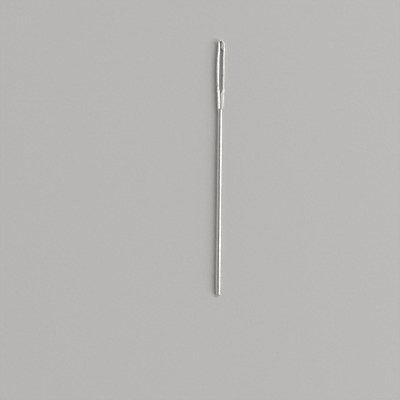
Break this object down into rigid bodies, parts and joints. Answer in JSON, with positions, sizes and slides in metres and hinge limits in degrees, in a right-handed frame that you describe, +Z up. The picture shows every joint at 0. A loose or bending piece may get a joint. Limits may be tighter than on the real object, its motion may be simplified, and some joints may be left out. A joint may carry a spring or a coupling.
{
  "type": "yarn needle",
  "caption": "Straight steel yarn needle with a long stamped eye, a groove pressed into each face that runs on above and below the eye, a round crown and a blunt rounded point.",
  "frame": {"origin": "middle of the bounding box's bottom face: the needle lies flat with its wire touching the surface at z = 0", "axes": "+Y along the needle from the point to the crown, +X across the width of the head, +Z up along the way through the eye"},
  "size_m": [0.0018, 0.057, 0.0012],
  "materials": {
    "plated_steel": "polished nickel plate on hardened steel wire"
  },
  "bodies": {
    "root": {"crown": "plated_steel", "left_rail": "plated_steel", "right_rail": "plated_steel", "shaft": "plated_steel"}
  },
  "joints": []
}
